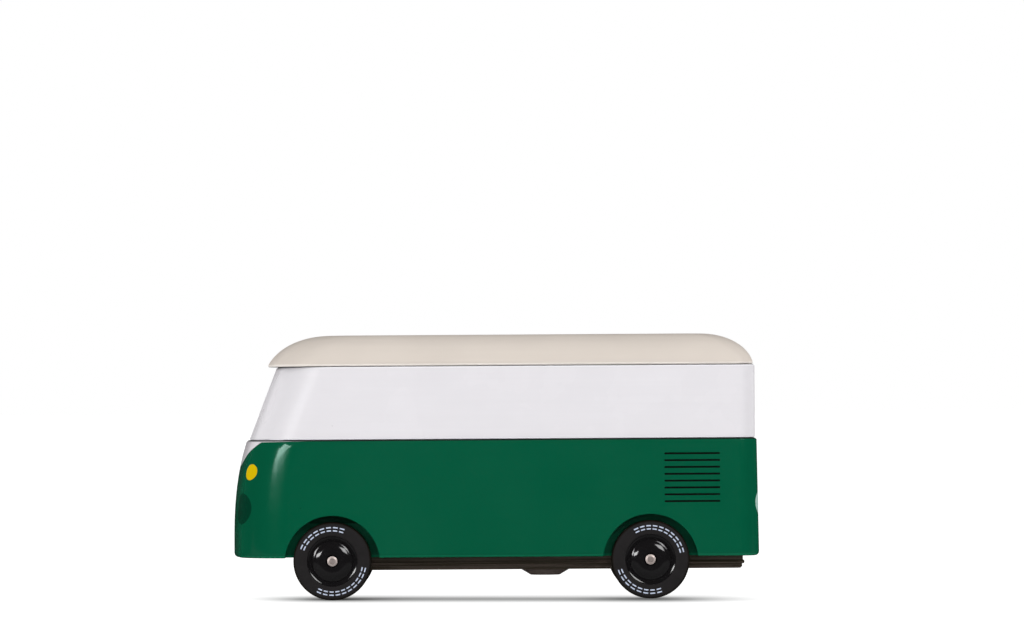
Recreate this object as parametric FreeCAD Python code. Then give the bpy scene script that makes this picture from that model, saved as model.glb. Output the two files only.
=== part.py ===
import FreeCAD, Part

import math
import os

# Toy van of painted wood: three stacked blocks on a moulded chassis plate, with two steel axles
# and four tyred wheels that turn with them. Millimetres, nose towards -X, +Z up, the van's left
# side at -Y. The origin is under the middle of the whole toy, on the floor.

# Overall
WIDTH = 68.0
WHEELBASE = 103.5
FRONT_OVERHANG = 33.0
REAR_OVERHANG = 35.5

# Heights of the stacked blocks, from the underside up
BODY_ABOVE_AXLE = 1.05
BODY_HEIGHT = 38.3
BAND_HEIGHT = 24.05
ROOF_HEIGHT = 10.1

# Lower body block
NOSE_CORNER_RADIUS = 17.0
NOSE_BOW_RADIUS = 105.0
TAIL_CORNER_RADIUS = 6.0
NOSE_LEAN = 4.4
NOSE_LEAN_POWER = 2.7
NOSE_LEAN_START = 2.3
NOSE_SECTIONS = 4
TAIL_LEAN = 0.6
BOTTOM_EDGE_ROUND = 1.3
BOTTOM_EDGE_FACETS = 3
SEAM_EDGE_BEVEL = 0.5

# Wheel pockets, cut into the block's sides
POCKET_CLEARANCE = 2.85
WHEEL_TO_POCKET_WALL = 3.0
POCKET_DROP = 0.7

# Louvre slots near the tail, on both sides
LOUVRE_COUNT = 8
LOUVRE_LENGTH = 18.2
LOUVRE_HEIGHT = 0.62
LOUVRE_DEPTH = 0.4
LOUVRE_END_FACETS = 3
LOUVRE_PITCH = 2.22
LOUVRE_TOP_BELOW_BELT = 4.9
LOUVRE_TO_TAIL = 12.7

# Window band block, measured from the lower block's widest outline
BAND_SIDE_INSET = 0.9
BAND_FRONT_SETBACK = 5.15
BAND_FRONT_RAKE = 9.3
BAND_REAR_SETBACK = 1.15
BAND_FRONT_CORNER_RADIUS = 16.4
BAND_REAR_CORNER_RADIUS = 5.6

# Roof block: each side is a quarter of an ellipse, with a run across and the roof's height up.
# The front and rear ellipses reach further down than the seam, by the undercut.
ROOF_SIDE_INSET = 0.7
ROOF_FLAT_FRONT_SETBACK = 31.2
ROOF_FLAT_REAR_SETBACK = 18.4
ROOF_FRONT_RUN = 21.0
ROOF_FRONT_UNDERCUT = 4.5
ROOF_REAR_RUN = 17.0
ROOF_REAR_UNDERCUT = 1.5
ROOF_SIDE_RUN = 10.5
ROOF_SECTIONS = 8
ROOF_FRONT_CORNER_RADIUS = 16.6
ROOF_FRONT_CORNER_TOP_RADIUS = 10.0
ROOF_REAR_CORNER_RADIUS = 5.6
ROOF_REAR_CORNER_TOP_RADIUS = 7.0

# Wheels and axles
TYRE_DIAMETER = 25.4
TYRE_WIDTH = 8.0
TYRE_SHOULDER_ROUND = 0.9
TYRE_SHOULDER_FACETS = 2
TYRE_BACK_BEVEL = 0.6
WHEEL_SIDE_INSET = 0.5
HUB_DIAMETER = 16.4
HUB_FACE_INSET = 0.25
HUB_LIP_WIDTH = 0.25
HUB_LIP_SLOPE_WIDTH = 0.25
HUB_RING_WIDTH = 1.1
HUB_DOME_DROP = 1.15
HUB_DOME_FACETS = 2
HUB_MIDDLE_DIAMETER = 7.0
HUB_MIDDLE_INSET = 0.1
HUB_RECESS_DIAMETER = 4.3
HUB_RECESS_DEPTH = 1.1
HUB_BACK_BOSS_DIAMETER = 6.4
HUB_END_FLOAT = 0.4
HUB_BACK_INSET = 0.6
AXLE_DIAMETER = 3.3
AXLE_CHAMFER_ACROSS = 0.65
AXLE_CHAMFER_ALONG = 0.3
AXLE_END_INSET = 0.2
AXLE_RUNNING_CLEARANCE = 0.08

# Chassis plate
CHASSIS_TO_POCKET_WALL = 1.0
CHASSIS_THICKNESS = 4.3
CHASSIS_AHEAD_OF_AXLE = 9.0
CHASSIS_TO_TAIL = 4.4
CHASSIS_CORNER_RADIUS = 4.0
CHASSIS_NECK_HEIGHT = 1.7
CHASSIS_NECK_INSET = 0.5
CHASSIS_LEDGE_HEIGHT = 1.1
CHASSIS_LEDGE_BEVEL = 0.25
CHASSIS_LIP_INSET = 0.75
CHASSIS_LIP_BEVEL = 0.55
SUMP_DIAMETER = 17.4
SUMP_FLAT_DIAMETER = 9.6
SUMP_DROP = 2.3
SUMP_AHEAD_OF_REAR_AXLE = 34.0

# Countersunk chassis screws
SCREW_HEAD_DIAMETER = 5.0
SCREW_HEAD_DEPTH = 1.6
SCREW_SHANK_DIAMETER = 2.4
SCREW_LENGTH = 12.0
SCREW_INSIDE_AXLE = 13.0

# Places worked out from the sizes above
LENGTH = FRONT_OVERHANG + WHEELBASE + REAR_OVERHANG
NOSE_X = -LENGTH / 2
TAIL_X = LENGTH / 2
HALF_WIDTH = WIDTH / 2
FRONT_AXLE_X = NOSE_X + FRONT_OVERHANG
REAR_AXLE_X = FRONT_AXLE_X + WHEELBASE
AXLE_Z = TYRE_DIAMETER / 2
AXLE_BORE_RADIUS = AXLE_DIAMETER / 2 + AXLE_RUNNING_CLEARANCE
BODY_BOTTOM_Z = AXLE_Z + BODY_ABOVE_AXLE
BELT_Z = BODY_BOTTOM_Z + BODY_HEIGHT
ROOF_SEAM_Z = BELT_Z + BAND_HEIGHT
ROOF_TOP_Z = ROOF_SEAM_Z + ROOF_HEIGHT
WHEEL_FACE_Y = HALF_WIDTH - WHEEL_SIDE_INSET
POCKET_DEPTH = WHEEL_SIDE_INSET + TYRE_WIDTH + WHEEL_TO_POCKET_WALL
POCKET_WALL_Y = HALF_WIDTH - POCKET_DEPTH
POCKET_RADIUS = TYRE_DIAMETER / 2 + POCKET_CLEARANCE
CHASSIS_BOTTOM_Z = BODY_BOTTOM_Z - CHASSIS_THICKNESS
CHASSIS_HALF_WIDTH = POCKET_WALL_Y - CHASSIS_TO_POCKET_WALL
Z_UP = FreeCAD.Vector(0, 0, 1)
Y_ACROSS = FreeCAD.Vector(0, 1, 0)


def vec(x, y, z):
    return FreeCAD.Vector(x, y, z)


def arc_edge(start, middle, end):
    return Part.Arc(start, middle, end).toShape()


def round_points(centre, radii, start_angle, end_angle, facets):
    """Points along an elliptical arc, in degrees, for the small rounds that are made of facets."""
    points = []
    for index in range(facets + 1):
        angle = math.radians(start_angle + (end_angle - start_angle) * index / facets)
        points.append((centre[0] + radii[0] * math.cos(angle), centre[1] + radii[1] * math.sin(angle)))
    return points


def block_outline(z, front_x, rear_x, half_width, front_radius, rear_radius):
    """Closed plan outline at height z: straight sides, a gently bowed front, four round corners."""
    bow_centre_x = front_x + NOSE_BOW_RADIUS
    front_y = half_width - front_radius
    reach = math.sqrt((NOSE_BOW_RADIUS - front_radius) ** 2 - front_y ** 2)
    front_centre_x = bow_centre_x - reach
    bow_angle = math.atan2(front_y, reach)
    corner_angle = (math.pi / 2 - bow_angle) / 2 + bow_angle
    rear_centre_x = rear_x - rear_radius
    rear_y = half_width - rear_radius
    diagonal = math.sqrt(0.5)

    def on_front_corner(side, angle):
        x = front_centre_x - front_radius * math.cos(angle)
        return vec(x, side * (front_y + front_radius * math.sin(angle)), z)

    def rear_middle(side):
        x = rear_centre_x + rear_radius * diagonal
        return vec(x, side * (rear_y + rear_radius * diagonal), z)

    near_side_front = vec(front_centre_x, -half_width, z)
    near_side_rear = vec(rear_centre_x, -half_width, z)
    far_side_front = vec(front_centre_x, half_width, z)
    far_side_rear = vec(rear_centre_x, half_width, z)
    near_bow = on_front_corner(-1, bow_angle)
    far_bow = on_front_corner(1, bow_angle)
    tail_near = vec(rear_x, -rear_y, z)
    tail_far = vec(rear_x, rear_y, z)
    edges = [
        Part.makeLine(near_side_front, near_side_rear),
        arc_edge(near_side_rear, rear_middle(-1), tail_near),
        Part.makeLine(tail_near, tail_far),
        arc_edge(tail_far, rear_middle(1), far_side_rear),
        Part.makeLine(far_side_rear, far_side_front),
        arc_edge(far_side_front, on_front_corner(1, corner_angle), far_bow),
        arc_edge(far_bow, vec(front_x, 0, z), near_bow),
        arc_edge(near_bow, on_front_corner(-1, corner_angle), near_side_front),
    ]
    return Part.Wire(edges)


def edges_at_height(shape, z):
    """The shape's edges that lie flat at height z."""
    tolerance = 0.001
    found = []
    for edge in shape.Edges:
        box = edge.BoundBox
        if abs(box.ZMin - z) < tolerance and abs(box.ZMax - z) < tolerance:
            found.append(edge)
    return found


def axle_bore(axle_x):
    """The running hole that the block's groove and the plate's channel make together."""
    reach = WIDTH
    return Part.makeCylinder(AXLE_BORE_RADIUS, reach, vec(axle_x, -reach / 2, AXLE_Z), Y_ACROSS)


def nose_front_x(z):
    """The nose's foremost x at height z: upright low down, leaning back towards the belt."""
    start_z = BODY_BOTTOM_Z + NOSE_LEAN_START
    rise = max(0.0, (z - start_z) / (BELT_Z - start_z))
    return NOSE_X + NOSE_LEAN * rise ** NOSE_LEAN_POWER


def tail_rear_x(z):
    """The tail's rearmost x at height z: it leans in a little above the bottom edge's round."""
    start_z = BODY_BOTTOM_Z + BOTTOM_EDGE_ROUND
    rise = max(0.0, (z - start_z) / (BELT_Z - start_z))
    return TAIL_X - TAIL_LEAN * rise


def wheel_pockets():
    """Four blind round-topped pockets, open at the sides and the underside."""
    cutters = []
    over = 1.0
    for axle_x in (FRONT_AXLE_X, REAR_AXLE_X):
        for side in (-1, 1):
            start = vec(axle_x, side * POCKET_WALL_Y, AXLE_Z - POCKET_DROP)
            cutters.append(Part.makeCylinder(POCKET_RADIUS, POCKET_DEPTH + over, start, Y_ACROSS * side))
    return cutters


def louvre_slot(side, z):
    """One shallow slot with round ends, sunk into the side of the block."""
    radius = LOUVRE_HEIGHT / 2
    rear_x = TAIL_X - LOUVRE_TO_TAIL - radius
    front_x = rear_x - LOUVRE_LENGTH + LOUVRE_HEIGHT
    y = side * (HALF_WIDTH + LOUVRE_DEPTH)
    outline = round_points((rear_x, z), (radius, radius), 90, -90, LOUVRE_END_FACETS)
    outline += round_points((front_x, z), (radius, radius), 270, 90, LOUVRE_END_FACETS)
    corners = [vec(x, y, height) for x, height in outline]
    return Part.Face(Part.makePolygon(corners + corners[:1])).extrude(vec(0, -side * 2 * LOUVRE_DEPTH, 0))


def louvre_slots():
    top_z = BELT_Z - LOUVRE_TOP_BELOW_BELT
    slots = []
    for side in (-1, 1):
        for index in range(LOUVRE_COUNT):
            slots.append(louvre_slot(side, top_z - index * LOUVRE_PITCH))
    return slots


def screw_places():
    """x of the screws on the plate's middle line: behind the front axle and ahead of the rear one."""
    return (FRONT_AXLE_X + SCREW_INSIDE_AXLE, REAR_AXLE_X - SCREW_INSIDE_AXLE)


def screw_blank(x):
    """A countersunk head with its shank, the same form as the hole it fills."""
    shank_radius = SCREW_SHANK_DIAMETER / 2
    bottom = vec(x, 0, CHASSIS_BOTTOM_Z)
    head = Part.makeCone(SCREW_HEAD_DIAMETER / 2, shank_radius, SCREW_HEAD_DEPTH, bottom, Z_UP)
    shank_bottom = vec(x, 0, CHASSIS_BOTTOM_Z + SCREW_HEAD_DEPTH)
    shank = Part.makeCylinder(shank_radius, SCREW_LENGTH - SCREW_HEAD_DEPTH, shank_bottom, Z_UP)
    return head.fuse(shank).removeSplitter()


def body_outline(z, inset):
    """The lower block's plan outline at height z, drawn in by inset on every side."""
    return block_outline(z, nose_front_x(z) + inset, tail_rear_x(z) - inset, HALF_WIDTH - inset,
                         NOSE_CORNER_RADIUS - inset, TAIL_CORNER_RADIUS - inset)


def make_lower_body():
    """The block: a smooth leaning loft between a rounded bottom edge and a bevelled top edge."""
    round_z = BODY_BOTTOM_Z + BOTTOM_EDGE_ROUND
    bevel_z = BELT_Z - SEAM_EDGE_BEVEL
    sections = []
    for index in range(NOSE_SECTIONS + 1):
        z = round_z + (bevel_z - round_z) * index / NOSE_SECTIONS
        sections.append(body_outline(z, 0.0))
    walls = Part.makeLoft(sections, True, False)
    bottom_sections = []
    radii = (BOTTOM_EDGE_ROUND, BOTTOM_EDGE_ROUND)
    for inset, z in round_points((BOTTOM_EDGE_ROUND, round_z), radii, 270, 180, BOTTOM_EDGE_FACETS):
        bottom_sections.append(body_outline(z, inset))
    bottom_edge = Part.makeLoft(bottom_sections, True, True)
    top = body_outline(BELT_Z, SEAM_EDGE_BEVEL)
    top_edge = Part.makeLoft([body_outline(bevel_z, 0.0), top], True, True)
    block = walls.multiFuse([bottom_edge, top_edge]).removeSplitter()
    bores = [axle_bore(FRONT_AXLE_X), axle_bore(REAR_AXLE_X)]
    screws = [screw_blank(x) for x in screw_places()]
    return block.cut(wheel_pockets() + louvre_slots() + bores + screws)


def band_outline(z, inset):
    """The window band's plan outline at height z: upright sides and tail, raked front."""
    rake = BAND_FRONT_RAKE * (z - BELT_Z) / BAND_HEIGHT
    return block_outline(z, NOSE_X + BAND_FRONT_SETBACK + rake + inset, TAIL_X - BAND_REAR_SETBACK - inset,
                         HALF_WIDTH - BAND_SIDE_INSET - inset,
                         BAND_FRONT_CORNER_RADIUS - inset, BAND_REAR_CORNER_RADIUS - inset)


def make_window_band():
    bevel = SEAM_EDGE_BEVEL
    sections = [
        band_outline(BELT_Z, bevel),
        band_outline(BELT_Z + bevel, 0.0),
        band_outline(ROOF_SEAM_Z - bevel, 0.0),
        band_outline(ROOF_SEAM_Z, bevel),
    ]
    return Part.makeLoft(sections, True, True)


def ellipse_reach(z, run, undercut):
    """How far a roof side stands out from the flat top's edge at height z."""
    rise = ROOF_HEIGHT + undercut
    fraction = (z - (ROOF_TOP_Z - rise)) / rise
    return run * math.sqrt(max(0.0, 1 - fraction ** 2))


def roof_outline(z, inset):
    """The roof's plan outline at height z, drawn in by inset on every side."""
    flat_front_x = NOSE_X + ROOF_FLAT_FRONT_SETBACK
    flat_rear_x = TAIL_X - ROOF_FLAT_REAR_SETBACK
    flat_half_width = HALF_WIDTH - ROOF_SIDE_INSET - ROOF_SIDE_RUN
    turn = 1 - ellipse_reach(z, 1.0, 0.0)
    front_radius = ROOF_FRONT_CORNER_RADIUS
    front_radius += (ROOF_FRONT_CORNER_TOP_RADIUS - ROOF_FRONT_CORNER_RADIUS) * turn
    rear_radius = ROOF_REAR_CORNER_RADIUS
    rear_radius += (ROOF_REAR_CORNER_TOP_RADIUS - ROOF_REAR_CORNER_RADIUS) * turn
    return block_outline(
        z,
        flat_front_x - ellipse_reach(z, ROOF_FRONT_RUN, ROOF_FRONT_UNDERCUT) + inset,
        flat_rear_x + ellipse_reach(z, ROOF_REAR_RUN, ROOF_REAR_UNDERCUT) - inset,
        flat_half_width + ellipse_reach(z, ROOF_SIDE_RUN, 0.0) - inset,
        front_radius - inset,
        rear_radius - inset,
    )


def make_roof():
    """A smooth crowned loft on a bevelled bottom edge, closer sections where it turns over."""
    bevel_z = ROOF_SEAM_Z + SEAM_EDGE_BEVEL
    sections = []
    for index in range(ROOF_SECTIONS + 1):
        climb = 1 - (1 - index / ROOF_SECTIONS) ** 2
        sections.append(roof_outline(bevel_z + (ROOF_TOP_Z - bevel_z) * climb, 0.0))
    crown = Part.makeLoft(sections, True, False)
    bottom = roof_outline(ROOF_SEAM_Z, SEAM_EDGE_BEVEL)
    edge = Part.makeLoft([bottom, roof_outline(bevel_z, 0.0)], True, True)
    return crown.fuse(edge).removeSplitter()


def plate_layer(z, height, inset):
    """One layer of the chassis plate, drawn in from the ledge by inset on every side."""
    front_x = FRONT_AXLE_X - CHASSIS_AHEAD_OF_AXLE + inset
    rear_x = TAIL_X - CHASSIS_TO_TAIL - inset
    half_width = CHASSIS_HALF_WIDTH - inset
    radius = CHASSIS_CORNER_RADIUS - inset
    plate = Part.makeBox(rear_x - front_x, 2 * half_width, height, vec(front_x, -half_width, z))
    upright = [edge for edge in plate.Edges if abs(edge.tangentAt(edge.FirstParameter).z) > 0.9]
    return plate.makeFillet(radius, upright)


def sump_boss():
    """The round boss under the plate: a low cone with a flat middle."""
    height = SUMP_DROP + CHASSIS_LIP_BEVEL
    slope = (SUMP_DIAMETER - SUMP_FLAT_DIAMETER) / 2 / SUMP_DROP
    seat_radius = SUMP_FLAT_DIAMETER / 2 + slope * height
    bottom = vec(REAR_AXLE_X - SUMP_AHEAD_OF_REAR_AXLE, 0, CHASSIS_BOTTOM_Z - SUMP_DROP)
    return Part.makeCone(SUMP_FLAT_DIAMETER / 2, seat_radius, height, bottom, Z_UP)


def make_chassis():
    neck_z = BODY_BOTTOM_Z - CHASSIS_NECK_HEIGHT
    ledge_z = neck_z - CHASSIS_LEDGE_HEIGHT
    neck = plate_layer(neck_z, CHASSIS_NECK_HEIGHT, CHASSIS_NECK_INSET)
    ledge = plate_layer(ledge_z, CHASSIS_LEDGE_HEIGHT, 0.0)
    ledge = ledge.makeChamfer(CHASSIS_LEDGE_BEVEL,
                              edges_at_height(ledge, neck_z) + edges_at_height(ledge, ledge_z))
    lip = plate_layer(CHASSIS_BOTTOM_Z, ledge_z - CHASSIS_BOTTOM_Z, CHASSIS_LIP_INSET)
    lip = lip.makeChamfer(CHASSIS_LIP_BEVEL, edges_at_height(lip, CHASSIS_BOTTOM_Z))
    plate = neck.multiFuse([ledge, lip, sump_boss()]).removeSplitter()
    bores = [axle_bore(FRONT_AXLE_X), axle_bore(REAR_AXLE_X)]
    screws = [screw_blank(x) for x in screw_places()]
    return plate.cut(bores + screws)


def make_chassis_screws():
    return Part.makeCompound([screw_blank(x) for x in screw_places()])


def make_axle(axle_x):
    """A steel rod whose ends lie just inside the hubs' flat middles, each with a wide chamfer."""
    half_length = WHEEL_FACE_Y - HUB_FACE_INSET - HUB_MIDDLE_INSET - AXLE_END_INSET
    radius = AXLE_DIAMETER / 2
    straight = half_length - AXLE_CHAMFER_ALONG
    end_radius = radius - AXLE_CHAMFER_ACROSS
    rod = Part.makeCylinder(radius, 2 * straight, vec(axle_x, -straight, AXLE_Z), Y_ACROSS)
    ends = []
    for side in (-1, 1):
        start = vec(axle_x, side * straight, AXLE_Z)
        ends.append(Part.makeCone(radius, end_radius, AXLE_CHAMFER_ALONG, start, Y_ACROSS * side))
    return rod.multiFuse(ends)


def turned_about_axle(profile, axle_x, side):
    """Turns a closed profile of (radius, depth in from the wheel's outer face) about the axle."""
    corners = [vec(axle_x + radius, side * (WHEEL_FACE_Y - depth), AXLE_Z) for radius, depth in profile]
    face = Part.Face(Part.makePolygon(corners + corners[:1]))
    return face.revolve(vec(axle_x, 0, AXLE_Z), Y_ACROSS, 360)


def make_tyre(axle_x, side):
    """A plain rubber ring with round shoulders, stretched over the hub."""
    outer = TYRE_DIAMETER / 2
    inner = HUB_DIAMETER / 2
    shoulder = TYRE_SHOULDER_ROUND
    radii = (shoulder, shoulder)
    profile = [(inner, TYRE_WIDTH), (inner, 0.0)]
    profile += round_points((outer - shoulder, shoulder), radii, -90, 0, TYRE_SHOULDER_FACETS)
    profile += [(outer, TYRE_WIDTH - TYRE_BACK_BEVEL), (outer - TYRE_BACK_BEVEL, TYRE_WIDTH)]
    return turned_about_axle(profile, axle_x, side)


def make_hub(axle_x, side):
    """A domed hub: recess round the axle's end, flat middle, dome, flat ring and a thin raised lip."""
    rim = HUB_DIAMETER / 2
    bore = AXLE_DIAMETER / 2
    face_depth = HUB_FACE_INSET
    lip_inside = rim - HUB_LIP_WIDTH
    ring_outside = lip_inside - HUB_LIP_SLOPE_WIDTH
    dome = ring_outside - HUB_RING_WIDTH
    middle = HUB_MIDDLE_DIAMETER / 2
    middle_depth = face_depth + HUB_MIDDLE_INSET
    dome_radius = ((dome - middle) ** 2 + HUB_DOME_DROP ** 2) / (2 * HUB_DOME_DROP)
    dome_centre = (middle, middle_depth + dome_radius)
    dome_end = math.degrees(math.acos((dome - middle) / dome_radius))
    recess = HUB_RECESS_DIAMETER / 2
    recess_depth = middle_depth + HUB_RECESS_DEPTH
    back_depth = TYRE_WIDTH - HUB_BACK_INSET
    back_boss = HUB_BACK_BOSS_DIAMETER / 2
    back_end_depth = WHEEL_FACE_Y - POCKET_WALL_Y - HUB_END_FLOAT
    profile = [(bore, recess_depth), (recess, recess_depth), (recess, middle_depth)]
    profile += round_points(dome_centre, (dome_radius, -dome_radius), 90, dome_end, HUB_DOME_FACETS)
    profile += [
        (ring_outside, middle_depth + HUB_DOME_DROP),
        (lip_inside, face_depth),
        (rim, face_depth),
        (rim, back_depth),
        (back_boss, back_depth),
        (back_boss, back_end_depth),
        (bore, back_end_depth),
    ]
    return turned_about_axle(profile, axle_x, side)


def make_parts():
    parts = {
        "lower_body": make_lower_body(),
        "window_band": make_window_band(),
        "roof": make_roof(),
        "chassis": make_chassis(),
        "chassis_screws": make_chassis_screws(),
    }
    for end, axle_x in (("front", FRONT_AXLE_X), ("rear", REAR_AXLE_X)):
        parts[end + "_axle"] = make_axle(axle_x)
        for place, side in (("near", -1), ("far", 1)):
            parts["hub_" + end + "_" + place] = make_hub(axle_x, side)
            parts["tyre_" + end + "_" + place] = make_tyre(axle_x, side)
    return parts


os.makedirs("parts", exist_ok=True)
for name, shape in make_parts().items():
    shape.exportStep("parts/" + name + ".step")
    box = shape.BoundBox
    print(name, "valid" if shape.isValid() else "NOT VALID", len(shape.Solids), "solid(s)",
          round(shape.Volume / 1000, 2), "cm3, z", round(box.ZMin, 2), "to", round(box.ZMax, 2))
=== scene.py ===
import math

import bmesh
import bpy
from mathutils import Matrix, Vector


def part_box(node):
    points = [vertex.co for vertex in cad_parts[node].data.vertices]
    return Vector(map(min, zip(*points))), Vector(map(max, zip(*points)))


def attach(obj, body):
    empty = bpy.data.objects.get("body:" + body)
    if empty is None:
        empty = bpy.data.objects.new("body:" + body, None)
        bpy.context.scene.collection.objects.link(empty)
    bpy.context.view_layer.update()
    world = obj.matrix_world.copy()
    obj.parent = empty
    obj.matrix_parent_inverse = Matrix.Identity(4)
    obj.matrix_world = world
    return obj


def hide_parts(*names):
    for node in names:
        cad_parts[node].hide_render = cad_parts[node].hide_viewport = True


# A wooden toy van that rolls on two steel axles. Metres, nose towards -X, the van's left side
# at -Y, the floor at Z = 0. Sizes on the object are written in millimetres times MM.
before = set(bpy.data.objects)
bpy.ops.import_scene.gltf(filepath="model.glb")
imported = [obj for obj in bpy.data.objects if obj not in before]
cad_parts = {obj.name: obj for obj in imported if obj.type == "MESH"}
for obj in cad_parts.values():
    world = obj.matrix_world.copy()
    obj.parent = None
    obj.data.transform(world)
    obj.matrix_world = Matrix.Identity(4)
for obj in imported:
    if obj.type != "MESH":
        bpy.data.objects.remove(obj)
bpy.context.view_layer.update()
MM = 0.001


# Lower body: one block of hardwood, sanded round at the nose and bored for the wheels from the
# sides. It is sprayed with satin green; the nose's white collar, the lamps and the louvres'
# black are printed or filled in afterwards, straight along the van's length.
BODY_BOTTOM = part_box("lower_body")[0].z
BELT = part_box("lower_body")[1].z
BODY_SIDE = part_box("lower_body")[1].y
GREEN = (0.0006, 0.0890, 0.0415, 1)
# A lighter green along the body's bottom bevel: a painted highlight.
GREEN_BOTTOM_HIGHLIGHT = (0.0008, 0.150, 0.070, 1)
GREEN_SHEEN = (0.68, 1.0, 0.90, 1)
GREEN_ROUGHNESS = 0.15
PRINT_GREEN = (0.0004, 0.0420, 0.0205, 1)
PRINT_WHITE = (0.72, 0.69, 0.72, 1)
PRINT_YELLOW = (0.72, 0.50, 0.0, 1)
PRINT_YELLOW_RIM = (0.72, 0.48, 0.0, 1)
PRINT_GREY = (0.42, 0.58, 0.53, 1)
PRINT_GREY_FLECK = (0.27, 0.42, 0.37, 1)
LOUVRE_BLACK = (0.004, 0.005, 0.004, 1)
# A near black line in the seams between the blocks: painted shade of the gap.
PAINTED_SEAM_SHADE = (0.006, 0.005, 0.003, 1)

# Each lamp's end of the van, then its distance from the middle line, height and radius in
# millimetres. Prints on an end lie farther than PRINTS_FROM from the van's middle.
NOSE, TAIL = -1, 1
HEADLIGHT = (NOSE, 23.6, 29.8, 5.1)
TURN_LAMP_RIM = (NOSE, 26.6, 41.8, 2.6)
TURN_LAMP = (NOSE, 26.6, 41.8, 2.35)
TAIL_LAMP = (TAIL, 27.2, 31.0, 4.05)
PRINTS_FROM = 40 * MM

PRINT_EDGE = 0.07 * MM
SOFT_EDGE = 0.1 * MM
FILM_RELIEF = 0.030 * MM
WELD = 0.001 * MM
FLAT_ANGLE = math.radians(0.05)
SAND_ANGLE = math.radians(50)


def smooth_piece(work, name, material, crease):
    """An object made of a bmesh. Its edges that turn by more than the angle crease stay crisp."""
    for face in work.faces:
        face.smooth = True
        face.material_index = 0
    for edge in work.edges:
        edge.smooth = edge.is_manifold and edge.calc_face_angle() < crease
    mesh = bpy.data.meshes.new(name)
    work.to_mesh(mesh)
    work.free()
    mesh.materials.append(material)
    piece = bpy.data.objects.new(name, mesh)
    bpy.context.scene.collection.objects.link(piece)
    return piece


def welded_block(node, name, material):
    """A block's own solid, welded into one smooth-shaded skin whose real edges stay crisp."""
    work = bmesh.new()
    work.from_mesh(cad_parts[node].data)
    bmesh.ops.remove_doubles(work, verts=work.verts, dist=WELD)
    bmesh.ops.dissolve_limit(work, angle_limit=FLAT_ANGLE, verts=work.verts, edges=work.edges)
    block = smooth_piece(work, name, material, SAND_ANGLE)
    weighted = block.modifiers.new("even shading", "WEIGHTED_NORMAL")
    weighted.keep_sharp = True
    return block


def feed(tree, node, inputs):
    """Sets a node's inputs. Each takes a value, or another node's output to be linked to it."""
    for socket, value in inputs.items():
        if isinstance(value, bpy.types.NodeSocket):
            tree.links.new(value, node.inputs[socket])
        else:
            node.inputs[socket].default_value = value


def add_node(tree, kind, inputs, **settings):
    """Adds a shader node, or with the kind Group a node group, and feeds its inputs."""
    made = tree.nodes.new("ShaderNode" + kind)
    for name, value in settings.items():
        setattr(made, name, value)
    feed(tree, made, inputs)
    return made


def axes_of(tree, vector):
    """A vector's x, y and z."""
    return tuple(add_node(tree, "SeparateXYZ", {0: vector}).outputs)


def noise(tree, vector, scale, detail, **more):
    """Even noise about 0.5, whose spots are the smaller the higher the scale."""
    inputs = {"Vector": vector, "Scale": scale, "Detail": detail, **more}
    return add_node(tree, "TexNoise", inputs).outputs["Fac"]


def maths(tree, operation, *values, clamp=False):
    """The output of a Math node."""
    inputs = dict(enumerate(values))
    return add_node(tree, "Math", inputs, operation=operation, use_clamp=clamp).outputs[0]


def product(tree, first, *others):
    """All the values multiplied."""
    for value in others:
        first = maths(tree, "MULTIPLY", first, value)
    return first


def add_scaled(tree, start, value, amount):
    """start + value * amount."""
    return maths(tree, "ADD", start, maths(tree, "MULTIPLY", value, amount))


def apart(tree, first, second):
    """How far apart two values are."""
    return maths(tree, "ABSOLUTE", maths(tree, "SUBTRACT", first, second))


def between(tree, value, low, high):
    """1 where the value lies from low to high, 0 elsewhere."""
    return maths(tree, "COMPARE", value, (low + high) / 2, (high - low) / 2)


def ramp(tree, value, start, stop, **settings):
    """0 where the value is at start or before it, and up to 1 where it reaches stop."""
    inputs = {"Value": value, "From Min": start, "From Max": stop}
    return add_node(tree, "MapRange", inputs, **settings).outputs[0]


def patches(tree, spots, level, steepness):
    """0 where a noise is below level. Above it, it climbs to 1, the faster the steeper."""
    return maths(tree, "MULTIPLY", maths(tree, "SUBTRACT", spots, level), steepness, clamp=True)


def edge_mask(tree, inside, softness=PRINT_EDGE):
    """1 where inside is above zero and 0 where it is below, with a soft edge of that width."""
    return maths(tree, "ADD", maths(tree, "DIVIDE", inside, softness), 0.5, clamp=True)


def level_stripe(tree, place, height, half_width):
    """A soft-edged stripe round a piece, up to half_width above and below that height."""
    off = apart(tree, axes_of(tree, place)[2], height)
    return edge_mask(tree, maths(tree, "SUBTRACT", half_width, off), SOFT_EDGE)


def blend_colours(tree, mask, under, over, blend_type="MIX"):
    """The output of a colour mix: over is laid on under where mask is 1."""
    inputs = {0: mask, 6: under, 7: over}
    return add_node(tree, "Mix", inputs, data_type="RGBA", blend_type=blend_type).outputs[2]


def new_group(name, inputs, outputs):
    """An empty node group with its named sockets, and its input and output nodes."""
    tree = bpy.data.node_groups.new(name, "ShaderNodeTree")
    for title, kind, value in inputs:
        socket = tree.interface.new_socket(title, in_out="INPUT", socket_type="NodeSocket" + kind)
        socket.default_value = value
    for title, kind in outputs:
        tree.interface.new_socket(title, in_out="OUTPUT", socket_type="NodeSocket" + kind)
    return tree, tree.nodes.new("NodeGroupInput"), tree.nodes.new("NodeGroupOutput")


def new_material(name, settings):
    """A material with one Principled shader, and the Object coordinates in its tree."""
    material = bpy.data.materials.new(name)
    material.use_nodes = True
    tree = material.node_tree
    shader = tree.nodes["Principled BSDF"]
    feed(tree, shader, settings)
    place = tree.nodes.new("ShaderNodeTexCoord").outputs["Object"]
    return material, tree, shader, place


def raise_surface(tree, shader, height, distance):
    """Feeds a height, 0 to 1, through a Bump node that makes 1 as high as distance."""
    bump = add_node(tree, "Bump", {"Strength": 1.0, "Distance": distance, "Height": height})
    feed(tree, shader, {"Normal": bump.outputs["Normal"]})


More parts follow.
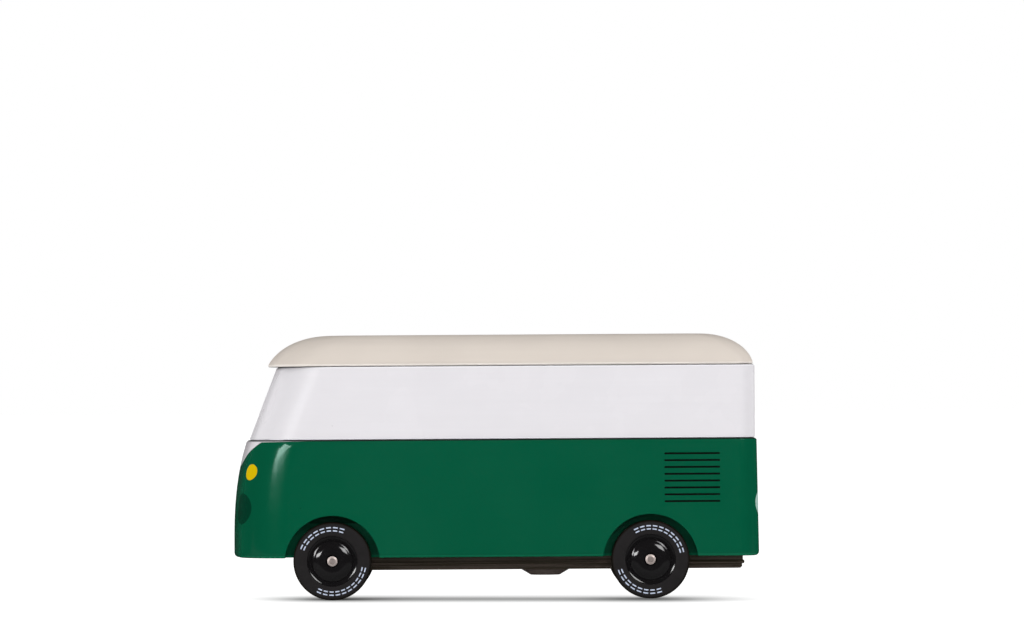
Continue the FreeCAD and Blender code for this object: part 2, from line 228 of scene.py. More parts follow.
def build_paint_film():
    """Sprayed satin paint: faint mottling, rare dust nibs with painted shade, orange peel and a
    trace of the grain.
    """
    nib_rarity, nib_radius, nib_steepness = 0.975, 0.07, 30.0
    tint_by_mottle, tint_by_grain, shade_by_nib = 0.10, 0.10, 0.22
    roughness_by_mottle = 0.16
    height_of_peel, height_of_wave, height_of_grain, height_of_nib = 0.10, 0.55, 0.22, 0.5
    tree, given, made = new_group(
        "paint film on wood",
        [("Place", "Vector", (0, 0, 0)), ("Paint", "Color", (1, 1, 1, 1)),
         ("Gloss Roughness", "Float", 0.35), ("Grain", "Float", 0.5)],
        [("Color", "Color"), ("Roughness", "Float"), ("Height", "Float")])
    place = given.outputs["Place"]
    mottle = maths(tree, "SUBTRACT", noise(tree, place, 45.0, 3.0), 0.5)
    peel = noise(tree, place, 620.0, 1.0)
    wave = noise(tree, place, 110.0, 1.0)
    along = add_node(tree, "Mapping", {"Vector": place, "Scale": (14.0, 420.0, 420.0)}).outputs[0]
    fibres = noise(tree, along, 1.0, 4.0, Roughness=0.6, Distortion=0.3)
    grain = product(tree, maths(tree, "SUBTRACT", fibres, 0.5), given.outputs["Grain"])
    cells = add_node(tree, "TexVoronoi", {"Vector": place, "Scale": 190.0})
    draw = add_node(tree, "SeparateColor", {0: cells.outputs["Color"]}).outputs[0]
    nib_here = maths(tree, "GREATER_THAN", draw, nib_rarity)
    nib = product(tree, nib_here, maths(tree, "SUBTRACT", nib_radius, cells.outputs["Distance"]))
    nib = maths(tree, "MULTIPLY", nib, nib_steepness, clamp=True)
    tint = add_scaled(tree, 1.0, mottle, tint_by_mottle)
    tint = add_scaled(tree, tint, grain, tint_by_grain)
    # Each nib is darkened a little: painted shade.
    tint = maths(tree, "SUBTRACT", tint, product(tree, nib, shade_by_nib))
    shade = add_node(tree, "CombineColor", {0: tint, 1: tint, 2: tint}).outputs[0]
    height = add_scaled(tree, product(tree, peel, height_of_peel), wave, height_of_wave)
    height = add_scaled(tree, height, grain, height_of_grain)
    height = add_scaled(tree, height, nib, height_of_nib)
    roughness = add_scaled(tree, given.outputs["Gloss Roughness"], mottle, roughness_by_mottle)
    colour = blend_colours(tree, 1.0, given.outputs["Paint"], shade, "MULTIPLY")
    feed(tree, made, {"Color": colour, "Roughness": roughness, "Height": height})
    return tree


def build_printed_disc():
    """A disc printed along the van's length on one end, and on both sides of its middle line."""
    tree, given, made = new_group(
        "printed disc",
        [("Place", "Vector", (0, 0, 0)), ("End", "Float", -1.0), ("Across", "Float", 0.02),
         ("Height", "Float", 0.03), ("Radius", "Float", 0.005)],
        [("Mask", "Float")])
    x, y, z = axes_of(tree, given.outputs["Place"])
    off_across = apart(tree, maths(tree, "ABSOLUTE", y), given.outputs["Across"])
    off_height = apart(tree, z, given.outputs["Height"])
    squares = maths(tree, "ADD", maths(tree, "POWER", off_across, 2.0),
                    maths(tree, "POWER", off_height, 2.0))
    distance = maths(tree, "SQRT", squares)
    disc = edge_mask(tree, maths(tree, "SUBTRACT", given.outputs["Radius"], distance))
    on_end = maths(tree, "GREATER_THAN", product(tree, x, given.outputs["End"]), PRINTS_FROM)
    feed(tree, made, {"Mask": product(tree, disc, on_end)})
    return tree


paint_film = build_paint_film()
printed_disc = build_printed_disc()


def printed_lamp(tree, place, lamp):
    """The mask of one lamp of the list above."""
    end, across, height, radius = lamp
    inputs = {"Place": place, "End": end, "Across": across * MM, "Height": height * MM,
              "Radius": radius * MM}
    return add_node(tree, "Group", inputs, node_tree=printed_disc).outputs["Mask"]


def spray(tree, shader, place, colour, roughness, grain):
    """Covers a material with the paint film in that colour."""
    inputs = {"Place": place, "Paint": colour, "Gloss Roughness": roughness, "Grain": grain}
    film = add_node(tree, "Group", inputs, node_tree=paint_film).outputs
    feed(tree, shader, {"Base Color": film["Color"], "Roughness": film["Roughness"]})
    raise_surface(tree, shader, film["Height"], FILM_RELIEF)


def nose_collar_mask(tree, place):
    """The white collar: its lower edge is lowest at the middle and climbs sideways to the belt."""
    lowest, half_width, curve, nose_from = 42.9 * MM, 28.9 * MM, 2.15, -50 * MM
    x, y, z = axes_of(tree, place)
    across = maths(tree, "DIVIDE", maths(tree, "ABSOLUTE", y), half_width)
    lower_edge = add_scaled(tree, lowest, maths(tree, "POWER", across, curve), BELT - lowest)
    above = edge_mask(tree, maths(tree, "SUBTRACT", z, lower_edge))
    return product(tree, above, maths(tree, "LESS_THAN", x, nose_from))


def louvre_mask(tree, place):
    """The slots' floors and walls, a little below the side's surface, within the slots' field."""
    field_front, field_rear = 54.5 * MM, 73.9 * MM
    field_bottom, field_top = 31.0 * MM, 47.8 * MM
    shallowest, deepest = 0.02 * MM, 1.0 * MM
    x, y, z = axes_of(tree, place)
    sideways = maths(tree, "ABSOLUTE", y)
    below_skin = between(tree, sideways, BODY_SIDE - deepest, BODY_SIDE - shallowest)
    return product(tree, below_skin, between(tree, x, field_front, field_rear),
                   between(tree, z, field_bottom, field_top))


def belt_line_mask(tree, place):
    """White that runs on from the collar along the block's top edge and thins out rearwards."""
    widest, front, rear = 0.50 * MM, -76.0 * MM, -47.0 * MM
    x, _, z = axes_of(tree, place)
    width = product(tree, ramp(tree, x, rear, front), widest)
    lower_edge = maths(tree, "SUBTRACT", BELT, width)
    return edge_mask(tree, maths(tree, "SUBTRACT", z, lower_edge), SOFT_EDGE)


def green_paint():
    """Green with its prints, a painted highlight along the bottom edge and painted shade in the
    seam at the belt.
    """
    bottom_highlight_width, seam, seam_roughness, grain = 0.75 * MM, 0.28 * MM, 0.8, 0.6
    fleck_level, fleck_steepness = 0.56, 12.0
    material, tree, shader, place = new_material("green_painted_wood", {
        "IOR": 1.5, "Specular IOR Level": 0.35, "Specular Tint": GREEN_SHEEN})
    flecks = patches(tree, noise(tree, place, 900.0, 2.0), fleck_level, fleck_steepness)
    tail_lamp = blend_colours(tree, flecks, PRINT_GREY, PRINT_GREY_FLECK)
    # Painted shade in the belt seam.
    seam_shade = level_stripe(tree, place, BELT, seam)
    colour = GREEN
    for mask, over in (
            (printed_lamp(tree, place, HEADLIGHT), PRINT_GREEN),
            (nose_collar_mask(tree, place), PRINT_WHITE),
            (printed_lamp(tree, place, TURN_LAMP_RIM), PRINT_YELLOW_RIM),
            (printed_lamp(tree, place, TURN_LAMP), PRINT_YELLOW),
            (printed_lamp(tree, place, TAIL_LAMP), tail_lamp),
            (belt_line_mask(tree, place), PRINT_WHITE),
            (louvre_mask(tree, place), LOUVRE_BLACK),
            # A painted highlight along the bottom bevel, then painted shade in the belt seam.
            (level_stripe(tree, place, BODY_BOTTOM, bottom_highlight_width), GREEN_BOTTOM_HIGHLIGHT),
            (seam_shade, PAINTED_SEAM_SHADE)):
        colour = blend_colours(tree, mask, colour, over)
    roughness = add_scaled(tree, GREEN_ROUGHNESS, seam_shade, seam_roughness)
    spray(tree, shader, place, colour, roughness, grain)
    return material


lower_body = welded_block("lower_body", "painted_lower_body", green_paint())
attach(lower_body, "body")
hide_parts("lower_body")


# Window band: a plain hardwood block with a raked round front, sprayed white. Its windows are
# left blank. It is glued and dowelled on the lower body, and both meet with a small bevel.
BAND_WHITE = (0.775, 0.755, 0.785, 1)
# Paler white on the bevels at the belt and the roof seam: a painted highlight.
BAND_BEVEL_HIGHLIGHT = (0.90, 0.89, 0.93, 1)
BAND_ROUGHNESS = 0.27
ROOF_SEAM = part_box("window_band")[1].z


def white_paint():
    """White, with painted highlights on the bevels at both ends of the block and painted shade in
    the seams.
    """
    belt_bevel, roof_bevel = 0.6 * MM, 0.5 * MM
    belt_seam, roof_seam = 0.12 * MM, 0.17 * MM
    seam_roughness, grain = 0.6, 0.5
    material, tree, shader, place = new_material("white_painted_wood", {
        "IOR": 1.5, "Specular IOR Level": 0.1})
    # Painted highlights on both bevels.
    highlight_on_bevels = maths(tree, "MAXIMUM", level_stripe(tree, place, BELT, belt_bevel),
                   level_stripe(tree, place, ROOF_SEAM, roof_bevel))
    # Painted shade in both seams.
    seam_shade = maths(tree, "MAXIMUM", level_stripe(tree, place, BELT, belt_seam),
                 level_stripe(tree, place, ROOF_SEAM, roof_seam))
    colour = blend_colours(tree, highlight_on_bevels, BAND_WHITE, BAND_BEVEL_HIGHLIGHT)
    colour = blend_colours(tree, seam_shade, colour, PAINTED_SEAM_SHADE)
    roughness = add_scaled(tree, BAND_ROUGHNESS, seam_shade, seam_roughness)
    spray(tree, shader, place, colour, roughness, grain)
    return material


window_band = welded_block("window_band", "painted_window_band", white_paint())
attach(window_band, "body")
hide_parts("window_band")


# Roof: a third block, crowned on all sides by a shaper and sanded, with a sharp visor over the
# raked front. It is sprayed cream and glued on the window band.
ROOF_CREAM = (0.685, 0.618, 0.556, 1)
# Paler cream on the bevel over the window band: a painted highlight.
ROOF_BEVEL_HIGHLIGHT = (0.92, 0.86, 0.80, 1)
ROOF_ROUGHNESS = 0.38


def cream_paint():
    """Cream, with a painted highlight on the bevel over the window band and painted shade in the
    seam.
    """
    bevel, seam, grain = 0.7 * MM, 0.03 * MM, 0.6
    material, tree, shader, place = new_material("cream_painted_wood", {
        "IOR": 1.5, "Specular IOR Level": 0.15})
    # Painted highlight on the bevel over the window band.
    highlight_over_band = level_stripe(tree, place, ROOF_SEAM, bevel)
    # Painted shade in the roof seam.
    seam_shade = level_stripe(tree, place, ROOF_SEAM, seam)
    colour = blend_colours(tree, highlight_over_band, ROOF_CREAM, ROOF_BEVEL_HIGHLIGHT)
    colour = blend_colours(tree, seam_shade, colour, PAINTED_SEAM_SHADE)
    spray(tree, shader, place, colour, ROOF_ROUGHNESS, grain)
    return material


roof = welded_block("roof", "painted_roof", cream_paint())
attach(roof, "body")
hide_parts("roof")


# Axles: two ground steel rods, turned to a flat end with a wide chamfer, which run in grooves in
# the block's underside and are held up by the chassis plate.
AXLE_STEEL = (0.37, 0.31, 0.29, 1)
AXLE_STEEL_DARK = (0.26, 0.22, 0.205, 1)
# A paler colour on the chamfer's ring: a painted highlight.
AXLE_CHAMFER_HIGHLIGHT = (0.72, 0.62, 0.58, 1)
WHEELS = {"front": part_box("front_axle"), "rear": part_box("rear_axle")}
AXLE_Z = (WHEELS["front"][0].z + WHEELS["front"][1].z) / 2
AXLE_RADIUS = (WHEELS["front"][1].z - WHEELS["front"][0].z) / 2
CHAMFER_ACROSS, CHAMFER_ALONG = 0.65 * MM, 0.3 * MM
AXLE_CREASE = math.radians(15)
TURNED_CREASE = math.radians(38)
ROUND_STEPS = 96
CORNER_STEPS = 5


def axle_x(end):
    """Where the front or the rear axle lies along the van."""
    low, high = WHEELS[end]
    return (low.x + high.x) / 2


def turned(name, outline, rounds, x, side, material, closed=True, crease=TURNED_CREASE):
    """Spins an outline of (radius, distance in y from the van's middle) about an axle at x.
    rounds gives the radius of some corners by their number. side is -1 for the van's left.
    Edges that turn by more than crease stay crisp."""
    work = bmesh.new()
    corners = [work.verts.new((x, side * y, AXLE_Z + radius)) for radius, y in outline]
    pairs = list(zip(corners, corners[1:]))
    if closed:
        pairs.append((corners[-1], corners[0]))
    for start, end in pairs:
        work.edges.new((start, end))
    for number, radius in rounds.items():
        bmesh.ops.bevel(work, geom=[corners[number]], offset=radius, offset_type="OFFSET",
                        segments=CORNER_STEPS, profile=0.5, affect="VERTICES", material=-1,
                        clamp_overlap=True)
    bmesh.ops.spin(work, geom=work.verts[:] + work.edges[:], cent=(x, 0, AXLE_Z), axis=(0, 1, 0),
                   angle=math.tau, steps=ROUND_STEPS, use_merge=True)
    bmesh.ops.remove_doubles(work, verts=work.verts, dist=WELD)
    bmesh.ops.recalc_face_normals(work, faces=work.faces)
    return smooth_piece(work, name, material, crease)


def centred(tree, place, x):
    """Object coordinates moved so that an axle's line is at zero in x and z."""
    return add_node(tree, "Mapping", {"Vector": place, "Location": (-x, 0.0, -AXLE_Z)}).outputs[0]


def distance_from_axle(tree, middle):
    """The distance from an axle's line, in coordinates that centred gives."""
    x, _, z = axes_of(tree, middle)
    flat = add_node(tree, "CombineXYZ", {0: x, 2: z}).outputs[0]
    return add_node(tree, "VectorMath", {0: flat}, operation="LENGTH").outputs["Value"]


def turning_marks(tree, radius, pitch):
    """A wave from -1 to 1 across the fine rings that a lathe or a mould leaves."""
    return maths(tree, "SINE", product(tree, radius, math.tau / pitch))


def axle_steel(end):
    """Turned steel, dulled in specks on its flat end, with a painted highlight on its chamfer."""
    chamfer_from, ring_pitch, ring_height = 1.02 * MM, 0.16 * MM, 0.003 * MM
    speck_level, speck_steepness = 0.42, 3.0
    roughness, roughness_by_grime = 0.38, 0.25
    material, tree, shader, place = new_material("axle_steel_" + end, {"Metallic": 0.6})
    radius = distance_from_axle(tree, centred(tree, place, axle_x(end)))
    grime = noise(tree, place, 1500.0, 3.0)
    specks = patches(tree, grime, speck_level, speck_steepness)
    colour = blend_colours(tree, specks, AXLE_STEEL, AXLE_STEEL_DARK)
    # The chamfer's ring is painted paler: a painted highlight.
    chamfer_highlight = edge_mask(tree, maths(tree, "SUBTRACT", radius, chamfer_from), SOFT_EDGE)
    feed(tree, shader, {
        "Base Color": blend_colours(tree, chamfer_highlight, colour, AXLE_CHAMFER_HIGHLIGHT),
        "Roughness": add_scaled(tree, roughness, grime, roughness_by_grime)})
    rings = add_scaled(tree, 0.5, turning_marks(tree, radius, ring_pitch), 0.5)
    raise_surface(tree, shader, rings, ring_height)
    return material


for end in ("front", "rear"):
    half_length = WHEELS[end][1].y
    half = [(0.0, half_length), (AXLE_RADIUS - CHAMFER_ACROSS, half_length),
            (AXLE_RADIUS, half_length - CHAMFER_ALONG)]
    outline = half + [(radius, -y) for radius, y in reversed(half)]
    axle = turned(end + "_axle_rod", outline, {}, axle_x(end), 1, axle_steel(end), closed=False,
                  crease=AXLE_CREASE)
    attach(axle, end + "_wheelset")
    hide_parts(end + "_axle")


# Chassis plate: one moulding in black plastic with a neck, a ledge and a lower lip, which closes
# the axle grooves from below. Its round sump, the lowest part, is painted a lighter grey as
# painted light from the floor below.
CHASSIS_BLACK = (0.040, 0.029, 0.015, 1)
CHASSIS_EDGE = (0.120, 0.088, 0.072, 1)
# A paler grey on the sump's bottom: painted light from the floor below.
CHASSIS_PAINTED_LIGHT = (0.29, 0.23, 0.21, 1)
SUMP_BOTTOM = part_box("chassis")[0].z


def moulded_black():
    """Black plastic with level streaks and fine pebbling, and painted light on the bottom of the
    sump.
    """
    full_light_below, no_light_above = SUMP_BOTTOM + 1.6 * MM, SUMP_BOTTOM + 2.6 * MM
    streak_level, streak_steepness = 0.42, 3.5
    light_between_streaks = 0.6
    roughness, roughness_by_pebble, pebble_height = 0.42, 0.2, 0.02 * MM
    material, tree, shader, place = new_material("black_moulding", {"Specular IOR Level": 0.35})
    level = add_node(tree, "Mapping", {"Vector": place, "Scale": (25.0, 200.0, 2600.0)}).outputs[0]
    streaks = patches(tree, noise(tree, level, 1.0, 2.0), streak_level, streak_steepness)
    colour = blend_colours(tree, streaks, CHASSIS_BLACK, CHASSIS_EDGE)
    # The sump's bottom is painted lighter, less between the streaks: painted light.
    sump_painted_light = ramp(tree, axes_of(tree, place)[2], no_light_above, full_light_below)
    sump_painted_light = product(tree, sump_painted_light, add_scaled(tree, light_between_streaks, streaks,
                                            1 - light_between_streaks))
    pebble = noise(tree, place, 1900.0, 2.0)
    feed(tree, shader, {
        "Base Color": blend_colours(tree, sump_painted_light, colour, CHASSIS_PAINTED_LIGHT),
        "Roughness": add_scaled(tree, roughness, pebble, roughness_by_pebble)})
    raise_surface(tree, shader, pebble, pebble_height)
    return material


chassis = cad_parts["chassis"]
chassis.data.materials.clear()
chassis.data.materials.append(moulded_black())


# Chassis screws: two countersunk zinc-plated steel screws, driven up through the plate into the
# block on the van's middle line.
SCREW_STEEL = (0.30, 0.29, 0.27, 1)
SCREW_BLOOM = (0.46, 0.44, 0.40, 1)


def zinc_steel():
    """Dark zinc with a paler, rougher bloom in patches."""
    roughness, roughness_by_bloom = 0.25, 0.3
    material, tree, shader, place = new_material("screw_steel", {"Metallic": 1.0})
    bloom = noise(tree, place, 900.0, 4.0)
    feed(tree, shader, {
        "Base Color": blend_colours(tree, bloom, SCREW_STEEL, SCREW_BLOOM),
        "Roughness": add_scaled(tree, roughness, bloom, roughness_by_bloom)})
    return material


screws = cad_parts["chassis_screws"]
screws.data.materials.clear()
screws.data.materials.append(zinc_steel())


# Hubs: gloss black mouldings pressed on the axle's ends. Each has a flat middle round the axle, a
# shallow dome, a thin groove, and a hollow ring that curves up to the lip that holds the tyre.
HUB_BLACK = (0.0070, 0.0064, 0.0070, 1)
HUB_DUST = (0.02, 0.02, 0.02, 1)
HUB_FACE_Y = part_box("hub_front_far")[1].y
HUB_BACK_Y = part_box("hub_front_far")[0].y
HUB_RADIUS = (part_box("hub_front_far")[1].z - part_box("hub_front_far")[0].z) / 2


def gloss_black(end):
    """Gloss black plastic with a faint flow and rare specks of dust."""
    dust_level, dust_steepness, dust_cover = 0.62, 8.0, 0.4
    roughness, roughness_by_flow, flow_height = 0.06, 0.08, 0.004 * MM
    material, tree, shader, place = new_material("hub_plastic_" + end, {"Specular IOR Level": 0.5})
    flow = noise(tree, place, 260.0, 2.0)
    specks = patches(tree, noise(tree, place, 2600.0, 1.0), dust_level, dust_steepness)
    feed(tree, shader, {
        "Base Color": blend_colours(tree, product(tree, specks, dust_cover), HUB_BLACK, HUB_DUST),
        "Roughness": add_scaled(tree, roughness, flow, roughness_by_flow)})
    raise_surface(tree, shader, flow, flow_height)
    return material


def curve_from(start, depth, bend, degrees, count, deeper):
    """Corners of a curve with the radius bend. It sets off level and turns by that many degrees
    at each corner: into the wheel where deeper is 1, out of it where it is -1."""
    turns = [math.radians(degrees * step) for step in range(count)]
    return [(start + bend * math.sin(turn), depth + deeper * bend * (1 - math.cos(turn)))
            for turn in turns]


# The hub's outline as (radius, depth below its lip), from the axle outwards and round its back:
# the recess at the axle, the flat middle and the dome with its foot, the groove, the hollow ring,
# the lip, and the boss behind.
recess_radius, recess_depth, flat_depth = 2.15 * MM, 1.2 * MM, 0.1 * MM
dome_from, dome_bend, foot = 3.5 * MM, 4.75 * MM, [(6.32 * MM, 0.93 * MM), (6.52 * MM, 0.97 * MM)]
groove_from, groove_to, groove_depth = 6.60 * MM, 6.80 * MM, 1.45 * MM
ring_from, ring_bends_from, ring_bend, ring_depth = 6.84 * MM, 7.2 * MM, 2.0 * MM, 1.25 * MM
lip_from, rim_depth, boss_radius = 8.10 * MM, 7.0 * MM, 3.2 * MM
hub_profile = [(AXLE_RADIUS, recess_depth), (recess_radius, recess_depth)]
hub_profile += [(recess_radius, flat_depth)]
hub_profile += curve_from(dome_from, flat_depth, dome_bend, 4.1, 9, 1) + foot
hub_profile += [(groove_from, groove_depth), (groove_to, groove_depth), (ring_from, ring_depth)]
hub_profile += curve_from(ring_bends_from, ring_depth, ring_bend, 5.0, 6, -1)
hub_profile += [(lip_from, 0.0), (HUB_RADIUS, 0.0)]
hub_profile += [(HUB_RADIUS, rim_depth), (boss_radius, rim_depth)]
hub_outline = [(radius, HUB_FACE_Y - depth) for radius, depth in hub_profile]
hub_outline += [(boss_radius, HUB_BACK_Y), (AXLE_RADIUS, HUB_BACK_Y)]
for end in ("front", "rear"):
    hub_material = gloss_black(end)
    for place_name, side in (("near", -1), ("far", 1)):
        hub = turned("moulded_hub_" + end + "_" + place_name, hub_outline, {}, axle_x(end), side,
                     hub_material)
        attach(hub, end + "_wheelset")
        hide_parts("hub_" + end + "_" + place_name)


# Tyres: plain rubber rings stretched over the hubs, flat on the outside with a round shoulder and
# two arcs of printed pale dashes.
RUBBER = (0.0095, 0.0085, 0.0090, 1)
RUBBER_DUSTY = (0.0175, 0.0155, 0.0160, 1)
# Darker, browner rubber round the shoulder: painted shade.
RUBBER_SHOULDER_SHADE = (0.0085, 0.0062, 0.0032, 1)
DASH_PAINT = (0.52, 0.58, 0.72, 1)
TYRE_FACE_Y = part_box("tyre_front_far")[1].y
TYRE_BACK_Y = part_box("tyre_front_far")[0].y
TYRE_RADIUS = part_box("tyre_front_far")[1].z / 2

# Each arc of dashes: where it starts and stops, in degrees, and how many dashes it has.
DASH_ARCS = {
    "front": ((67.0, 160.0, 8), (-119.0, -9.5, 10)),
    "rear": ((10.7, 120.5, 10), (-164.0, -69.0, 8)),
}
DASH_ROWS = (9.95 * MM, 11.0 * MM)
DASH_HALF_HEIGHT = 0.20 * MM
DASH_HALF_LENGTH = 0.39
DASH_END_STEEPNESS = 12.0
PRINT_DEPTH = 0.05 * MM


def build_dash_arc():
    """Pale dashes in two rows along part of a circle, as seen from outside the wheel."""
    tree, given, made = new_group(
        "arc of dashes",
        [("Angle", "Float", 0.0), ("Radius", "Float", 0.01), ("Start", "Float", 0.0),
         ("Sweep", "Float", 90.0), ("Dashes", "Float", 8.0)],
        [("Mask", "Float")])
    full_turn = 360.0
    turn = maths(tree, "SUBTRACT", given.outputs["Angle"], given.outputs["Start"])
    turn = maths(tree, "MODULO", maths(tree, "ADD", turn, 2 * full_turn), full_turn)
    along = maths(tree, "DIVIDE", turn, given.outputs["Sweep"])
    in_arc = maths(tree, "LESS_THAN", along, 1.0)
    cell = maths(tree, "FRACT", product(tree, along, given.outputs["Dashes"]))
    to_end = maths(tree, "SUBTRACT", DASH_HALF_LENGTH, apart(tree, cell, 0.5))
    dash = maths(tree, "MULTIPLY", to_end, DASH_END_STEEPNESS, clamp=True)
    off_rows = [apart(tree, given.outputs["Radius"], row) for row in DASH_ROWS]
    rows = [edge_mask(tree, maths(tree, "SUBTRACT", DASH_HALF_HEIGHT, off)) for off in off_rows]
    feed(tree, made, {"Mask": product(tree, maths(tree, "MAXIMUM", *rows), dash, in_arc)})
    return tree


dash_arc = build_dash_arc()


def printed_dashes(tree, middle, radius, end):
    """The mask of a wheel's two arcs of dashes, on the outer faces of its tyres only."""
    x, y, z = axes_of(tree, middle)
    seen_x = product(tree, x, maths(tree, "SIGN", y), -1.0)
    angle = maths(tree, "DEGREES", maths(tree, "ARCTAN2", z, seen_x))
    arcs = []
    for start, stop, count in DASH_ARCS[end]:
        inputs = {"Angle": angle, "Radius": radius, "Start": start, "Sweep": stop - start,
                  "Dashes": count}
        arcs.append(add_node(tree, "Group", inputs, node_tree=dash_arc).outputs["Mask"])
    on_face = maths(tree, "GREATER_THAN", maths(tree, "ABSOLUTE", y), TYRE_FACE_Y - PRINT_DEPTH)
    return product(tree, maths(tree, "MAXIMUM", *arcs), on_face)


def tyre_rubber(end):
    """Dusty rubber with fine rings and printed dashes, darker and browner round its shoulder as
    painted shade.
    """
    shoulder_width, shoulder_softness = 0.5 * MM, 0.6 * MM
    roughness, roughness_by_dust = 0.55, 0.2
    ring_pitch, relief, height_of_rings, height_of_dashes = 0.35 * MM, 0.02 * MM, 0.12, 0.6
    material, tree, shader, place = new_material("tyre_rubber_" + end, {"Specular IOR Level": 0.15})
    middle = centred(tree, place, axle_x(end))
    radius = distance_from_axle(tree, middle)
    dust = noise(tree, place, 420.0, 4.0)
    past_face = maths(tree, "SUBTRACT", radius, TYRE_RADIUS - shoulder_width)
    # Painted shade: the shoulder is darker and browner.
    shoulder_shade = edge_mask(tree, past_face, shoulder_softness)
    dashes = printed_dashes(tree, middle, radius, end)
    colour = blend_colours(tree, dust, RUBBER, RUBBER_DUSTY)
    colour = blend_colours(tree, shoulder_shade, colour, RUBBER_SHOULDER_SHADE)
    colour = blend_colours(tree, dashes, colour, DASH_PAINT)
    feed(tree, shader, {
        "Base Color": colour,
        "Roughness": add_scaled(tree, roughness, dust, roughness_by_dust)})
    height = add_scaled(tree, dust, turning_marks(tree, radius, ring_pitch), height_of_rings)
    height = add_scaled(tree, height, dashes, height_of_dashes)
    raise_surface(tree, shader, height, relief)
    return material


# The rounds are at the face's inner edge, at its shoulder and at the back's outer edge.
tyre_outline = [
    (HUB_RADIUS, TYRE_BACK_Y),
    (HUB_RADIUS, TYRE_FACE_Y),
    (TYRE_RADIUS, TYRE_FACE_Y),
    (TYRE_RADIUS, TYRE_BACK_Y),
]
tyre_rounds = {1: 0.25 * MM, 2: 0.9 * MM, 3: 0.6 * MM}
for end in ("front", "rear"):
    tyre_material = tyre_rubber(end)
    for place_name, side in (("near", -1), ("far", 1)):
        tyre = turned("rubber_tyre_" + end + "_" + place_name, tyre_outline, tyre_rounds,
                      axle_x(end), side, tyre_material)
        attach(tyre, end + "_wheelset")
        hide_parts("tyre_" + end + "_" + place_name)


# Set: a paper floor and a world that are pure white to the camera but for one painted strip of
# shadow, where the real shadow shows too.
# They give the van an even soft light, and look dim in its gloss apart from the paper close by.
# Soft boxes light it from in front, from above and from behind.
FLOOR_HALF = 30.0
FLOOR_SEEN = (0.25, 0.25, 0.25, 1)
FLOOR_BOUNCE = (0.76, 0.76, 0.76, 1)
FLOOR_FIBRE = (0.80, 0.80, 0.80, 1)
WHITE = (1, 1, 1, 1)
STUDIO_DIM = (0.02, 0.02, 0.02, 1)
WORLD_LIGHT = 0.40
VAN_MIDDLE = Vector((0, 0, 45 * MM))


def bell(tree, offset, half_width):
    """1 where the offset is zero, and down towards 0 on both sides."""
    share = maths(tree, "DIVIDE", offset, half_width)
    return maths(tree, "EXPONENT", product(tree, share, share, -1.0))


def shadow_strip(tree, x, y):
    """How dark the painted strip of shadow along the van's near side is: deepest at the wheels."""
    middle_y, half_width, slant = -0.030, 0.031, 0.2
    axles_middle, half_wheelbase, wheel_reach = -0.00125, 0.0518, 0.018
    front_from, front_full, rear_full, rear_from = -0.090, -0.052, 0.050, 0.102
    away_from_wheels = 0.75
    across = maths(tree, "SUBTRACT", add_scaled(tree, y, x, slant), middle_y)
    from_wheel = maths(tree, "SUBTRACT", apart(tree, x, axles_middle), half_wheelbase)
    near_wheel = bell(tree, from_wheel, wheel_reach)
    front_end = ramp(tree, x, front_from, front_full, interpolation_type="SMOOTHSTEP")
    rear_end = ramp(tree, x, rear_from, rear_full, interpolation_type="SMOOTHSTEP")
    depth = add_scaled(tree, away_from_wheels, near_wheel, 1 - away_from_wheels)
    return product(tree, bell(tree, across, half_width), depth, front_end, rear_end)


def floor_paper():
    """Pale paper that the camera sees as pure white but for a painted strip of shadow, where the
    real shadow shows too. Towards the camera it ends at the table's edge, and gloss mirrors it
    only close in front of the van."""
    table_edge, paper_full = -0.40, -0.20
    mirrored_from, mirrored_full, van_side, mirrored_share = -0.15, -0.09, -0.034, 0.3
    material, tree, shader, place = new_material("floor_paper", {
        "Roughness": 1.0, "Specular IOR Level": 0.0, "Emission Color": WHITE})
    x, y, _ = axes_of(tree, place)
    rays = tree.nodes.new("ShaderNodeLightPath").outputs
    camera_sees = rays["Is Camera Ray"]
    paper = blend_colours(tree, noise(tree, place, 600.0, 3.0), FLOOR_BOUNCE, FLOOR_FIBRE)
    close_by = ramp(tree, y, mirrored_from, mirrored_full)
    in_front = ramp(tree, y, 0.0, van_side)
    mirrored = product(tree, close_by, in_front, mirrored_share, rays["Is Glossy Ray"])
    lit = product(tree, ramp(tree, y, table_edge, paper_full), rays["Is Diffuse Ray"])
    lit = maths(tree, "MAXIMUM", lit, mirrored)
    bounce = blend_colours(tree, lit, STUDIO_DIM, paper)
    # The camera's white glow is taken away along a painted strip of shadow.
    glow = maths(tree, "SUBTRACT", 1.0, shadow_strip(tree, x, y))
    feed(tree, shader, {
        "Base Color": blend_colours(tree, camera_sees, bounce, FLOOR_SEEN),
        "Emission Strength": product(tree, camera_sees, glow)})
    return material


floor_mesh = bpy.data.meshes.new("floor")
floor_work = bmesh.new()
bmesh.ops.create_grid(floor_work, x_segments=1, y_segments=1, size=FLOOR_HALF)
floor_work.to_mesh(floor_mesh)
floor_work.free()
floor_mesh.materials.append(floor_paper())
floor = bpy.data.objects.new("floor", floor_mesh)
bpy.context.scene.collection.objects.link(floor)


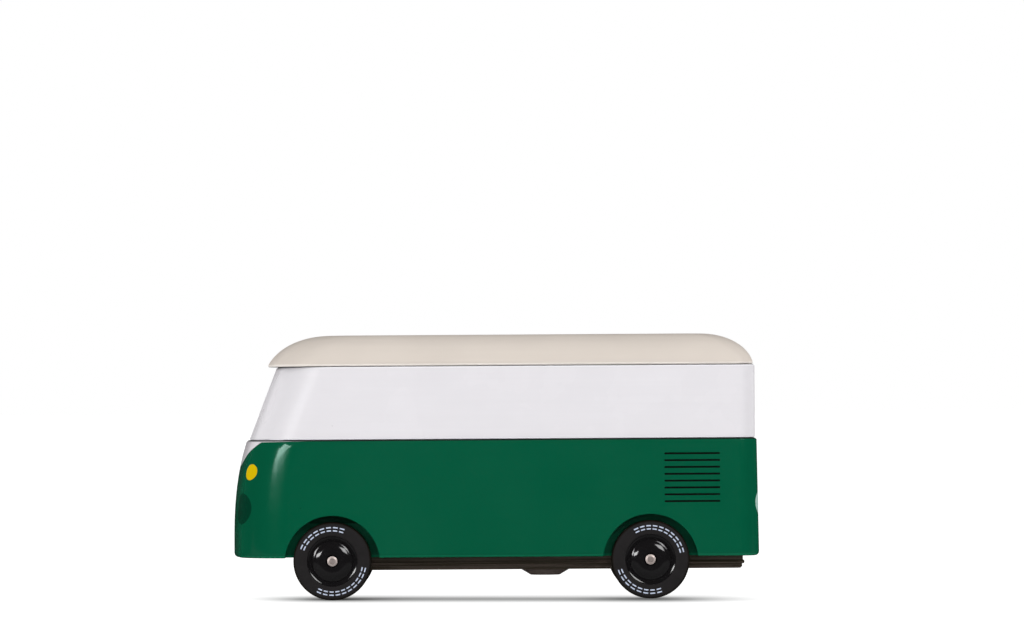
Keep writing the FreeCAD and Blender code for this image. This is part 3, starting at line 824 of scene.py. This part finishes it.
def studio_world():
    """White to the camera, an even soft light on the paint, and dim in its gloss."""
    world = bpy.data.worlds.new("studio")
    bpy.context.scene.world = world
    world.use_nodes = True
    tree = world.node_tree
    rays = tree.nodes.new("ShaderNodeLightPath").outputs
    soft_light = product(tree, rays["Is Diffuse Ray"], WORLD_LIGHT)
    white = maths(tree, "MAXIMUM", rays["Is Camera Ray"], soft_light)
    feed(tree, tree.nodes["Background"], {"Color": blend_colours(tree, white, STUDIO_DIM, WHITE)})


studio_world()


def softbox(name, azimuth, elevation, distance, size, watts, glossy=True, diffuse=True):
    """An area lamp that faces the van's middle. Azimuth is from the camera's side, to the right.
    Without glossy it isn't mirrored in the gloss; without diffuse it is only mirrored."""
    lamp = bpy.data.lights.new(name, "AREA")
    lamp.shape = "RECTANGLE"
    lamp.size, lamp.size_y = size
    lamp.energy = watts
    box = bpy.data.objects.new(name, lamp)
    bpy.context.scene.collection.objects.link(box)
    turn, climb = math.radians(azimuth), math.radians(elevation)
    towards = Vector((math.sin(turn) * math.cos(climb), -math.cos(turn) * math.cos(climb),
                      math.sin(climb)))
    box.location = VAN_MIDDLE + towards * distance
    box.rotation_euler = towards.to_track_quat("Z", "Y").to_euler()
    box.visible_camera = False
    box.visible_glossy = glossy
    box.visible_diffuse = diffuse


softbox("left_softbox", -39, 17, 1.3, (0.44, 0.34), 4.9, glossy=False)
softbox("left_window", -36, 11.5, 1.3, (0.56, 0.20), 5.2, diffuse=False)
softbox("right_softbox", 30, 26, 1.3, (0.50, 0.42), 5.9)
softbox("front_fill", 0, 1, 1.6, (0.4, 0.3), 3.0, glossy=False)
softbox("overhead_softbox", 0, 78, 1.5, (1.4, 1.0), 0.9)
softbox("left_rear_softbox", -130, 12, 1.3, (0.5, 0.5), 9.0, glossy=False)
softbox("right_rear_softbox", 118, 12, 1.3, (0.5, 0.5), 6.0, glossy=False)


# Camera: level with the window band and two metres off, as the photograph was taken, and turned
# a trace so that the floor line climbs to the right. The shift only frames the picture.
camera_data = bpy.data.cameras.new("camera")
camera_data.lens = 234.31
camera_data.sensor_width = 36.0
camera_data.shift_x = 0.0215
camera_data.shift_y = 0.0777
camera_data.clip_end = 100.0
camera = bpy.data.objects.new("camera", camera_data)
bpy.context.scene.collection.objects.link(camera)
camera.location = (-0.0014, -2.2, 0.065)
camera.rotation_euler = (math.radians(90), math.radians(0.36), 0)
bpy.context.scene.camera = camera
bpy.context.scene.view_settings.view_transform = "Standard"
